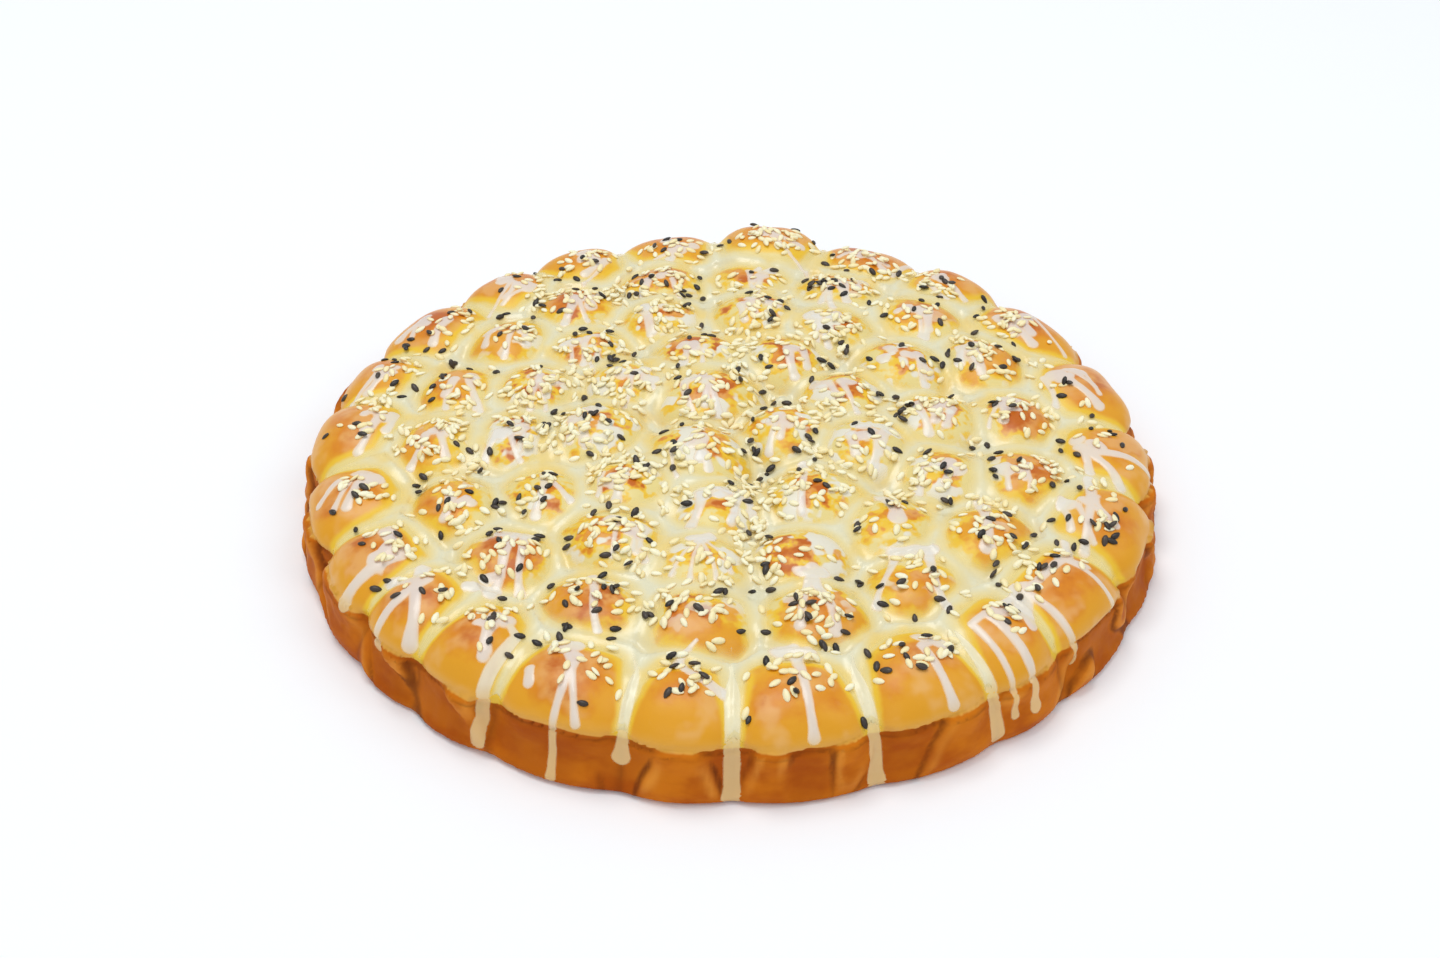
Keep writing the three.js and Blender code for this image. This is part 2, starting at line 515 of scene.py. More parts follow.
def islands(edges: Array, count: int) -> Array:
    """Finds which points hang together.

    Args:
        edges: Rows of the two points that an edge joins.
        count: How many points there are.

    Returns:
        For each point, how many points its island has.
    """
    label = np.arange(count)
    while True:
        before = label.copy()
        lowest = label[edges].min(axis=1)
        np.minimum.at(label, edges[:, 0], lowest)
        np.minimum.at(label, edges[:, 1], lowest)
        label = label[label]
        if np.array_equal(before, label):
            return np.bincount(label, minlength=count)[label]


def trim_scraps(piece: bpy.types.Object, fewest: int) -> None:
    """Deletes loose points, points where faces meet only at a corner, and small islands.

    Args:
        piece: The open skin to trim.
        fewest: The fewest points that an island keeps.
    """
    while True:
        mesh = piece.data
        count = len(mesh.vertices)
        edges = numbers_of(mesh.edges, "vertices", 2)
        faces_on_edge = np.bincount(numbers_of(mesh.loops, "edge_index"), minlength=len(edges))
        faces_at = np.bincount(numbers_of(mesh.loops, "vertex_index"), minlength=count)
        rims_at = np.bincount(edges[faces_on_edge == 1].ravel(), minlength=count)
        kept = (rims_at <= 2) & (faces_at > 0) & (islands(edges, count) >= fewest)
        if kept.all():
            return
        keep_points(piece, kept)


class Value:
    """A number in a material, on which arithmetic adds Math nodes."""

    def __init__(self, material: "Material", socket: bpy.types.NodeSocket) -> None:
        """Wraps a socket of a material's tree."""
        self.material = material
        self.socket = socket

    def _math(self, operation: str, *operands: object) -> "Value":
        """Adds a Math node on operands."""
        return self.material.value("ShaderNodeMath", {"operation": operation}, dict(enumerate(operands)))

    def __add__(self, other: object) -> "Value":
        """Adds."""
        return self._math("ADD", self, other)

    def __radd__(self, other: object) -> "Value":
        """Adds."""
        return self._math("ADD", other, self)

    def __sub__(self, other: object) -> "Value":
        """Subtracts."""
        return self._math("SUBTRACT", self, other)

    def __rsub__(self, other: object) -> "Value":
        """Subtracts from a number."""
        return self._math("SUBTRACT", other, self)

    def __mul__(self, other: object) -> "Value":
        """Multiplies."""
        return self._math("MULTIPLY", self, other)

    def clamped(self) -> "Value":
        """Keeps the number between 0 and 1."""
        return self._math("MINIMUM", self._math("MAXIMUM", self, 0.0), 1.0)

    def eased(self, low: float, high: float) -> "Value":
        """Eases from 0 at the low limit to 1 at the high one."""
        limits = {"Value": self, "From Min": low, "From Max": high, "To Min": 0.0, "To Max": 1.0}
        return self.material.value("ShaderNodeMapRange", {"interpolation_type": "SMOOTHSTEP"}, limits)


def linear(red: int, green: int, blue: int) -> Colour:
    """Turns a screen colour into a linear one.

    Args:
        red: The red level, from 0 to 255.
        green: The green level.
        blue: The blue level.

    Returns:
        The linear colour, from 0 to 1.
    """

    def channel(level: int) -> float:
        """Returns the linear amount of one level."""
        share = level / 255
        return share / 12.92 if share <= 0.04045 else ((share + 0.055) / 1.055) ** 2.4

    return channel(red), channel(green), channel(blue)


class Material:
    """A material's node tree with one Principled surface."""

    def __init__(self, name: str) -> None:
        """Makes an empty material with a surface and an output.

        Args:
            name: The material's name.
        """
        self.data = bpy.data.materials.new(name)
        self.data.use_nodes = True
        self.tree = self.data.node_tree
        self.tree.nodes.clear()
        self.surface = self.node("ShaderNodeBsdfPrincipled")
        self.node("ShaderNodeOutputMaterial", sockets={"Surface": self.surface.outputs[0]})
        self.place = self.node("ShaderNodeTexCoord").outputs["Object"]

    def node(
        self,
        kind: str,
        settings: dict[str, object] | None = None,
        sockets: dict[object, object] | None = None,
    ) -> bpy.types.Node:
        """Adds a node.

        Args:
            kind: The node's type.
            settings: Its properties by name, such as a Math node's operation.
            sockets: Values or links of its inputs, by name or number.

        Returns:
            The node.
        """
        node = self.tree.nodes.new(kind)
        for name, value in (settings or {}).items():
            setattr(node, name, value)
        for key, value in (sockets or {}).items():
            self.feed(node.inputs[key], value)
        return node

    def feed(self, socket: bpy.types.NodeSocket, value: object) -> None:
        """Sets an input to a constant, or links it.

        Args:
            socket: The input.
            value: A number, a colour, a vector, a socket or a Value.
        """
        if isinstance(value, Value):
            value = value.socket
        if isinstance(value, bpy.types.NodeSocket):
            self.tree.links.new(value, socket)
        elif isinstance(value, tuple) and len(value) == 3 and socket.type == "RGBA":
            socket.default_value = (*value, 1.0)
        else:
            socket.default_value = value

    def value(self, kind: str, settings: dict[str, object], sockets: dict[object, object]) -> Value:
        """Adds a node and returns its first output as a number."""
        return Value(self, self.node(kind, settings, sockets).outputs[0])

    def noted(self, name: str) -> Value:
        """Returns a number stored on the piece's points."""
        node = self.node("ShaderNodeAttribute", {"attribute_name": name})
        return Value(self, node.outputs["Fac"])

    def mottle(
        self,
        size: float,
        detail: float = 2.0,
        roughness: float = 0.5,
        stretch: tuple[float, float, float] = (1, 1, 1),
    ) -> Value:
        """Returns noise between 0 and 1.

        Args:
            size: The size of its features in millimetres.
            detail: How many finer layers it has.
            roughness: How strong those are.
            stretch: How much to scale each axis before sampling.

        Returns:
            The noise.
        """
        mapping = self.node("ShaderNodeMapping", sockets={"Vector": self.place, "Scale": stretch})
        return self.value("ShaderNodeTexNoise", {}, {
            "Vector": mapping.outputs[0],
            "Scale": 1 / (size * MM),
            "Detail": detail,
            "Roughness": roughness,
        })

    def mixed(self, amount: Value, first: object, second: object) -> bpy.types.NodeSocket:
        """Mixes two colours.

        Args:
            amount: How much of the second there is, from 0 to 1.
            first: A colour or the socket of one.
            second: A colour or the socket of one.

        Returns:
            The socket of the colour between them.
        """
        node = self.node("ShaderNodeMix", {"data_type": "RGBA"}, {0: amount, 6: first, 7: second})
        return node.outputs[2]

    def bump(self, height: Value, distance: float, strength: float) -> None:
        """Raises the surface's look by a height.

        Args:
            height: The height, from 0 to 1.
            distance: How far 1 stands above 0, in millimetres.
            strength: How much of it shows.
        """
        sockets = {"Height": height, "Distance": distance * MM, "Strength": strength}
        self.feed(self.surface.inputs["Normal"], self.node("ShaderNodeBump", {}, sockets).outputs[0])

    def set(self, **inputs: object) -> None:
        """Sets the surface's inputs, with underscores for the spaces in their names."""
        for name, value in inputs.items():
            self.feed(self.surface.inputs[name.replace("_", " ")], value)


@dataclass(frozen=True)
class CrustFinish:
    """Baked crust: pale by the dips, golden on the slopes, browned on the crowns and the side, with a
    painted sheen on the crowns and painted shade and highlights on the side.
    """

    milk: Colour = linear(234, 226, 206)
    cream: Colour = linear(234, 213, 140)
    lemon: Colour = linear(240, 194, 50)
    gold: Colour = linear(230, 158, 26)
    pale_gold: Colour = linear(231, 165, 58)
    orange: Colour = linear(220, 131, 16)
    # Painted sheen: the overhead lamp's reflection on the crowns, given as a colour.
    painted_sheen: Colour = linear(236, 180, 108)
    brown: Colour = linear(196, 98, 6)
    side: Colour = linear(212, 118, 18)
    side_dark: Colour = linear(182, 86, 8)
    # Painted shade on the sunken side of the side's flaps.
    painted_fold_shade: Colour = linear(162, 70, 8)
    # Painted highlight on the raised edges of the side's flaps.
    painted_edge_highlight: Colour = linear(238, 156, 60)
    # Painted shadow in the creases, in the flaps' seams and under the lip.
    painted_crevice_shade: Colour = linear(100, 42, 8)
    roughness: float = 0.36
    specular: float = 0.05
    coat: float = 0.6

    def make(self) -> bpy.types.Material:
        """Builds the crust's material.

        Returns:
            The material.
        """
        material = Material("crust_finish")
        middle = material.noted("middle")
        broad = material.mottle(9.0, 3.0, 0.55)
        fine = material.mottle(1.6, 3.0, 0.6)
        patch = material.mottle(17.0, 1.0, 0.4)
        ragged = (material.mottle(4.6, 2.5, 0.55) - 0.5) * middle
        baked = material.noted("crown") + (broad - 0.5) * 1.5 + (patch - 0.5) * 0.7 + ragged * 3.6
        crown = (baked + (fine - 0.5) * 0.12).eased(0.45, 1.0)
        deep = (baked + (fine - 0.5) * 0.3).eased(0.9, 1.4)
        coated = material.noted("film") + (broad - 0.5) * 1.0 + (patch - 0.5) * 0.8
        coated = coated - crown * 0.3 - ragged * 4.2 - middle * 0.32
        film = coated.eased(0.35, 0.8)
        rim = (material.noted("rim") + (broad - 0.5) * 0.8).eased(0.2, 1.0)
        colour = self.baked_colour(material, rim, crown, deep)
        colour = material.mixed(coated.eased(-0.2, 0.3), colour, self.lemon)
        colour = material.mixed(film, colour, self.cream)
        splashed = material.mottle(7.5, 2.0, 0.5) + middle * 0.1
        colour = material.mixed(splashed.eased(0.66, 0.71) * middle, colour, self.milk)
        band = (material.noted("side") + (fine - 0.5) * 0.1).eased(0.35, 0.65)
        material.set(
            Base_Color=material.mixed(band, colour, self.side_colour(material)),
            Roughness=self.roughness + band * 0.2 - film * 0.06,
            Specular_IOR_Level=self.specular,
            Coat_Weight=(self.coat - band * 0.55).clamped(),
            Coat_Roughness=self.roughness,
        )
        material.bump(fine * 0.6 + broad * 0.4, 0.25, 0.5)
        return material.data

    def baked_colour(
        self, material: Material, rim: Value, crown: Value, deep: Value
    ) -> bpy.types.NodeSocket:
        """Colours the bare top, from golden slopes to browned crowns, with a painted peach sheen that
        stands in for the overhead lamp's reflection.

        Args:
            material: The material.
            rim: How near the pan's rim a place is.
            crown: How browned it is.
            deep: How near to burnt it is.

        Returns:
            The colour.
        """
        colour = material.mixed(rim, self.gold, self.pale_gold)
        colour = material.mixed(crown, colour, self.orange)
        # Painted sheen: peach patches, stronger on the crowns, stand in for the lamp's reflection.
        sheen = material.mottle(8.0, 2.0, 0.5) + crown * 0.16
        colour = material.mixed(sheen.eased(0.52, 0.74) * 0.6, colour, self.painted_sheen)
        return material.mixed(deep, colour, self.brown)

    def side_colour(self, material: Material) -> bpy.types.NodeSocket:
        """Colours the side, with painted shade on each flap's sunken side, painted highlights on the
        flaps' raised edges, and painted shadow in the seams under them, in the creases and under the lip.

        Args:
            material: The material.

        Returns:
            The colour.
        """
        blotch = material.mottle(13.0, 3.0, 0.5, (1.0, 1.0, 1.8))
        side = material.mixed(blotch.eased(0.3, 0.65), self.side_dark, self.side)
        # Painted shade: the sunken side of each flap is darker.
        side = material.mixed(material.noted("fold_shade").eased(0.3, 1.0) * 0.45, side, self.painted_fold_shade)
        # Painted highlight: a lighter line along each flap's raised edge.
        side = material.mixed(material.noted("edge") * 0.6, side, self.painted_edge_highlight)
        # Painted shadow: dark in the creases, in the seams under the flaps and under the lip.
        return material.mixed(material.noted("crease_shade").eased(0.2, 1.0) * 0.85, side, self.painted_crevice_shade)


@dataclass(frozen=True)
class GlazeFinish:
    """Thin milky glaze, clearer where it is thin, and yellower and a little clearer low on the side."""

    name: str
    thick: Colour
    thin: Colour
    solid_above: float
    white_above: float
    solidity: float
    stained: float
    clear_below: float = -0.1
    stain: Colour = linear(240, 208, 116)
    cream: Colour = linear(240, 230, 194)
    side: Colour = linear(244, 212, 146)
    roughness: float = 0.3
    coat: float = 0.3
    coat_roughness: float = 0.15

    def make(self) -> bpy.types.Material:
        """Builds the glaze's material.

        Returns:
            The material.
        """
        material = Material(self.name)
        depth = material.noted("thickness")
        low = material.noted("low")
        waves = material.mottle(6.0)
        body = (depth + (waves - 0.5) * 0.6).eased(0.1, self.white_above)
        colour = material.mixed(body, self.thin, self.thick)
        stains = material.mottle(11.0).eased(0.5, 0.68) * self.stained
        colour = material.mixed(stains, colour, self.stain)
        colour = material.mixed(material.noted("creamy"), colour, self.cream)
        material.set(
            Base_Color=material.mixed(low, colour, self.side),
            Alpha=depth.eased(self.clear_below, self.solid_above) * (self.solidity - low * 0.12),
            Roughness=self.roughness,
            Coat_Weight=self.coat,
            Coat_Roughness=self.coat_roughness,
        )
        material.bump(waves, 0.15, 0.4)
        return material.data


@dataclass(frozen=True)
class SeedFinish:
    """Small dry seeds, each with its own tone."""

    name: str
    light: Colour
    dark: Colour
    roughness: float
    glow: float
    glow_depth: float = 0.6

    def make(self) -> bpy.types.Material:
        """Builds a seed material.

        Returns:
            The material.
        """
        material = Material(self.name)
        skin = material.mottle(0.6)
        tone = (material.noted("tone") + (skin - 0.5) * 0.35).clamped()
        material.set(
            Base_Color=material.mixed(tone, self.dark, self.light),
            Roughness=self.roughness,
            Subsurface_Weight=self.glow,
            Subsurface_Radius=(1.0, 0.8, 0.5),
            Subsurface_Scale=self.glow_depth * MM,
        )
        material.bump(skin, 0.05, 0.4)
        return material.data


POOL_FINISH = GlazeFinish(
    name="pool_glaze_finish",
    thick=linear(230, 223, 190),
    thin=linear(236, 212, 138),
    solid_above=1.6,
    white_above=3.4,
    solidity=0.9,
    stained=0.75,
)
DRIZZLE_FINISH = GlazeFinish(
    name="drizzle_glaze_finish",
    thick=linear(233, 225, 215),
    thin=linear(240, 216, 186),
    solid_above=0.5,
    white_above=1.0,
    solidity=0.8,
    stained=0.0,
)
WHITE_FINISH = SeedFinish(
    name="white_seed_finish",
    light=linear(255, 247, 214),
    dark=linear(252, 232, 174),
    roughness=0.45,
    glow=0.1,
)
BLACK_FINISH = SeedFinish(
    name="black_seed_finish",
    light=linear(68, 56, 46),
    dark=linear(28, 20, 16),
    roughness=0.42,
    glow=0.0,
)


def dress(piece: bpy.types.Object, finish: bpy.types.Material, slot: Slot) -> None:
    """Gives a piece its material and its place in the frame. Thin glaze casts no shadow.

    Args:
        piece: The finished piece.
        finish: Its material.
        slot: The record's slot that the piece belongs to; here it only decides whether the piece casts
            shadows and bounces light.
    """
    piece.data.materials.clear()
    piece.data.materials.append(finish)
    pick(piece)
    bpy.ops.object.shade_smooth()
    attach(piece, BODY)
    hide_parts(NODE)
    piece.visible_shadow = piece.visible_diffuse = slot is not Slot.GLAZE
    log.info("%s: %d faces", piece.name, len(piece.data.polygons))


@dataclass
class Crust:
    """The bread itself: balls on a band that the pan shaped, all baked into one."""

    grain: float = 1.05
    smoothing: int = 5
    ball_segments: int = 32
    ball_rings: int = 20
    squareness: float = 2.9
    band_segments: int = 460
    band_levels: tuple[float, ...] = (0.8, 2.5, 6, 9, 12, 15)
    band_from: float = 0.95
    foot: float = 0.9
    foot_below: float = 0.1
    flat_below: float = 0.12
    swell: Grain = Grain(11.0, 3.1)
    swell_rise: float = 0.5
    wrinkle: Grain = Grain(3.2, 7.7)
    fine_wrinkle: Grain = Grain(2.6, 1.9)
    wrinkle_rise: float = 0.28
    lip_wave: Grain = Grain(14.0, 5.5)
    lip_groove: float = 0.7
    flap_wave: Grain = Grain(12.5, 17.3)
    flap_rise: float = 1.1
    flap_lean: float = 0.9
    flap_height: float = 0.45
    # Noise for where the flaps' seams show their painted shadow and highlight.
    seam_grain: Grain = Grain(18.0, 3.3)
    bake_spread: float = 0.4
    bake_seed: int = 88
    underside: float = 3.0
    piece: bpy.types.Object = field(init=False)

    def band(self) -> bpy.types.Object:
        """Models the band: a disc extruded level by level, then squeezed in at the creases.

        Returns:
            The band.
        """
        deselect_all()
        bpy.ops.mesh.primitive_circle_add(
            vertices=self.band_segments,
            radius=(FORM.base_radius - self.foot) * MM,
            fill_type="NGON",
            location=(0, FORM.ring_middle_y * MM, 0),
        )
        band = bpy.context.object
        bpy.ops.object.mode_set(mode="EDIT")
        bpy.ops.mesh.select_mode(type=Part.FACES.value)
        height = 0.0
        for level in self.band_levels:
            step = (0, 0, (level - height) * MM)
            bpy.ops.mesh.extrude_region_move(TRANSFORM_OT_translate={"value": step})
            height = level
        reach = FORM.base_radius * (1 - FORM.floor_share)
        bpy.ops.mesh.inset(thickness=reach * MM, depth=(FORM.floor_height - height) * MM)
        bpy.ops.mesh.select_all(action="SELECT")
        bpy.ops.mesh.normals_make_consistent(inside=False)
        bpy.ops.object.mode_set(mode="OBJECT")
        bpy.ops.object.transform_apply(location=True, rotation=True, scale=True)
        points = points_of(band)
        radius, angle = round_places(points)
        height = points[:, 2]
        side = radius > FORM.base_radius * self.band_from
        wanted = FORM.side_radius(angle, height) - np.where(height < self.foot_below, self.foot, 0)
        points[:, :2] *= np.where(side, wanted / radius, 1)[:, None]
        move_points(band, points)
        return band

    def ball(self, ball: Ball, outer: bool) -> bpy.types.Object:
        """Models one ball as a squashed sphere, which is widest a rise below its crown.

        Args:
            ball: The ball's place and size.
            outer: Whether it is on the outer ring, where balls are fuller.

        Returns:
            The ball.
        """
        x, y = ball.spot()
        bpy.ops.mesh.primitive_uv_sphere_add(
            segments=self.ball_segments,
            ring_count=self.ball_rings,
            radius=1,
            location=(x * MM, (y + FORM.ring_middle_y) * MM, (ball.crown - FORM.ball_rise) * MM),
            rotation=(0, 0, math.radians(ball.angle)),
            scale=(ball.depth * MM, ball.width * MM, FORM.ball_rise * MM),
        )
        piece = bpy.context.object
        if outer:
            power = self.squareness
            for vertex in piece.data.vertices:
                turn = math.atan2(vertex.co.y, vertex.co.x)
                fullness = abs(math.cos(turn)) ** power + abs(math.sin(turn)) ** power
                vertex.co.xy *= fullness ** (-1 / power)
        return piece

    def build(self) -> None:
        """Joins and smooths the dough, and marks where it is browned."""
        deselect_all()
        outer_count = len(FORM.outer_spans)
        balls = [self.ball(ball, index < outer_count) for index, ball in enumerate(FORM.balls)]
        self.piece = joined([self.band(), *balls], "crust")
        finish_with(self.piece, "REMESH", mode="VOXEL", voxel_size=self.grain * MM, adaptivity=0.0)
        finish_with(self.piece, "SMOOTH", factor=0.5, iterations=self.smoothing)
        self.flatten_underside()
        self.weather()
        self.mark_top()
        self.mark_side()

    def flatten_underside(self) -> None:
        """Makes the many small faces of the underside one flat face."""
        points = points_of(self.piece)
        low = points[:, 2] < self.flat_below
        points[low, 2] = 0
        move_points(self.piece, points)
        under = [all(low[corner] for corner in face.vertices) for face in self.piece.data.polygons]
        choose(self.piece, Part.FACES, np.array(under))
        bpy.ops.mesh.dissolve_faces()
        bpy.ops.object.mode_set(mode="OBJECT")

    def weather(self) -> None:
        """Makes the skin uneven, wrinkles the side and presses the pan's rim in under the domes."""
        points = points_of(self.piece)
        radius, angle = round_places(points)
        height = points[:, 2]
        outer = smoothstep(0.93, 0.97, radius / FORM.base_radius) * smoothstep(0.5, 3.0, height)
        around = rows_of(FORM.arc(angle), height * 0.35)
        folds = self.wrinkle.at(around) + 0.6 * self.fine_wrinkle.at(points)
        flap = self.flap_rise * np.tanh(self.flaps(angle, height) / 0.8)
        flap = flap * (0.5 + 0.5 * np.abs(points[:, 0]) / radius)
        folds = self.wrinkle_rise * folds + flap * smoothstep(1.0, 4.0, height)
        lip = self.lip_groove * bell(height, self.lip_height(angle), self.lip_groove)
        push = self.swell_rise * self.swell.at(points)
        push = push + outer * (folds * (height < FORM.band_height) - lip)
        push *= smoothstep(0.2, 2.0, height)
        points += normals_of(self.piece) * push[:, None]
        points[:, 2] = np.maximum(points[:, 2], 0)
        move_points(self.piece, points)

    def flaps(self, angle: Array, height: Array) -> Array:
        """Measures how far places are from a seam between the side's slanting flaps.

        Args:
            angle: Polar angles in degrees.
            height: Heights in millimetres.

        Returns:
            The distance in millimetres, above 0 on one side of a seam and below 0 on the other.
        """
        arc = FORM.arc(angle)
        lean = -self.flap_lean * np.cos(np.radians(angle))
        step = 0.5
        gentlest = 0.045

        def wave(along: Array, up: Array) -> Array:
            """Returns noise that changes slowly along a line that leans as the flaps do."""
            return self.flap_wave.at(rows_of(along + lean * up, self.flap_height * up))

        here = wave(arc, height)
        slope = np.hypot(wave(arc + step, height) - here, wave(arc, height + step) - here) / step
        return here / np.maximum(slope, gentlest)

    def lip_height(self, angle: Array) -> Array:
        """Works out where the pan's rim ended and the golden dome begins.

        Args:
            angle: Polar angles in degrees.

        Returns:
            The height of that line at each angle.
        """
        wave = 1.1 * self.lip_wave.at(rows_of(FORM.arc(angle), np.zeros_like(angle)))
        return FORM.band_height - 0.3 + wave - 1.2 * FORM.along_crease(angle) ** 4

    def mark_top(self) -> None:
        """Notes on each point how browned the crown is and how much pale film lies on it.

        A crown is browned more outwards, and each ball has a bake of its own. The film lies in the
        dips, and reaches higher in the middle of the round.
        """
        points = points_of(self.piece)
        x, y, height = points.T
        radius, angle = round_places(points)
        share = radius / FORM.base_radius
        above_lip = height - self.lip_height(angle)
        domes = FORM.domes(x, y)
        best = domes.argmax(axis=0)
        second, first = np.sort(domes, axis=0)[-2:]
        lead = first - second
        draws = Draws(self.bake_seed)
        bake = np.array([draws.spread(self.bake_spread) for _ in FORM.balls])[best]
        below = np.array([ball.crown for ball in FORM.balls])[best] - height
        outer = smoothstep(0.6, 0.78, share)
        inner = 1 - outer
        outward = np.array([ball.own_place(x, y)[0] for ball in FORM.balls])[best, np.arange(len(x))]
        outward = np.clip(outward, -1, 1) * outer
        crown = 0.95 - below / (5.0 - 2.2 * inner) + bake * (0.4 + 0.6 * inner)
        note_on(self.piece, "crown", crown + 0.05 * inner + 0.6 * outward)
        middle = 1 - smoothstep(0.45, 0.8, share)
        rim = smoothstep(0.76, 0.92, share)
        film = 1 - smoothstep(1.0, 10.0 + 12.0 * middle, lead)
        film = film + 0.2 * middle - 0.3 * rim - 0.6 * outward
        dip = (1 - smoothstep(0.4, 4.5, lead)) * smoothstep(1.0, 6.0, above_lip)
        note_on(self.piece, "film", film + (0.95 - film) * dip)
        note_on(self.piece, "middle", 1 - smoothstep(0.52, 0.82, share))
        note_on(self.piece, "rim", 1 - smoothstep(0.0, 5.0, above_lip))

    def mark_side(self) -> None:
        """Notes on each point whether it is on the side, and the side's painted light: shadow in its
        seams, its creases and under the lip, highlights on its flaps' raised edges, and shade on each
        flap's sunken side.
        """
        points = points_of(self.piece)
        height = points[:, 2]
        radius, angle = round_places(points)
        lip = self.lip_height(angle)
        low = height < self.underside
        side = smoothstep(-1.2, 1.2, lip - height) * smoothstep(0.88, 0.94, radius / FORM.base_radius)
        note_on(self.piece, "side", np.where(low, 1.0, side))
        flap = self.flaps(angle, height)
        # Patches, more to the left and right, where the seams' painted shadow and the edges' painted
        # highlight show.
        seam_mask = smoothstep(-0.2, 0.3, self.seam_grain.at(points) + 0.4 * np.abs(points[:, 0]) / radius)
        seam_mask *= height < lip - 0.8
        # Painted shadow: a dark line just under each flap's seam.
        seam = bell(flap, -0.6, 1.0) * seam_mask
        # Painted highlight: a light line along each flap's raised edge.
        edge = bell(flap, 1.4, 1.1) * seam_mask
        # Painted shadow: a dark line just under the lip.
        under_lip = bell(height, lip - 1.0, 0.6)
        # Painted shade, darkest in the creases between the balls, in the seams and under the lip.
        dark = np.maximum(0.6 * FORM.along_crease(angle) ** 6, 0.85 * seam)
        dark = np.maximum(dark, 0.6 * under_lip)
        outer = radius > 0.93 * FORM.base_radius
        note_on(self.piece, "crease_shade", np.where(outer | low, dark, 0))
        note_on(self.piece, "edge", np.where(outer, edge * smoothstep(1.0, 4.0, height), 0))
        # Painted shade on each flap's sunken side.
        note_on(self.piece, "fold_shade", 0.5 - 0.5 * np.tanh(flap / 3.0))


@dataclass(frozen=True)
class Streak:
    """A streak of drizzle seen from above, or a rounder patch. Places are in base radii."""

    start: tuple[float, float]
    end: tuple[float, float]
    width: float
    sharp: bool = True


@dataclass(frozen=True)
class Run:
    """A run of glaze over the shoulder and down the side to a foot height.

    It starts on the top, at a place in base radii.
    """

    start: tuple[float, float]
    angle: float
    foot: float
    width: float
    creamy: float = 0.0

    def from_pool(self) -> bool:
        """Returns whether the run comes out of a dip."""
        return self.creamy > 0.5


FAR_OUTSIDE = -9.0


@dataclass(frozen=True)
class Bead:
    """A line of glaze as it lies on the crust, how creamy it is and how ragged its edge."""

    path: Array
    half: Array
    creamy: float
    ragged: float

    def inside(self, points: Array, wobble: Array) -> tuple[Array, Array]:
        """Measures how far inside the bead each point is.

        Args:
            points: Where to measure.
            wobble: How much nearer or further each point counts, so that edges waver.

        Returns:
            The millimetres inside the edge, less than 0 outside, and the bead's half width there.
        """
        best = np.full(len(points), FAR_OUTSIDE)
        half = np.ones(len(points))
        for index in range(len(self.path) - 1):
            first, way = self.path[index], self.path[index + 1] - self.path[index]
            share = np.clip(((points - first) @ way) / max(way @ way, 1e-9), 0, 1)
            gap = np.linalg.norm(points - first - share[:, None] * way, axis=1)
            reach = self.half[index] + share * (self.half[index + 1] - self.half[index])
            depth = reach - gap * (1 + self.ragged * wobble)
            half = np.where(depth > best, reach, half)
            best = np.maximum(best, depth)
        return best, half


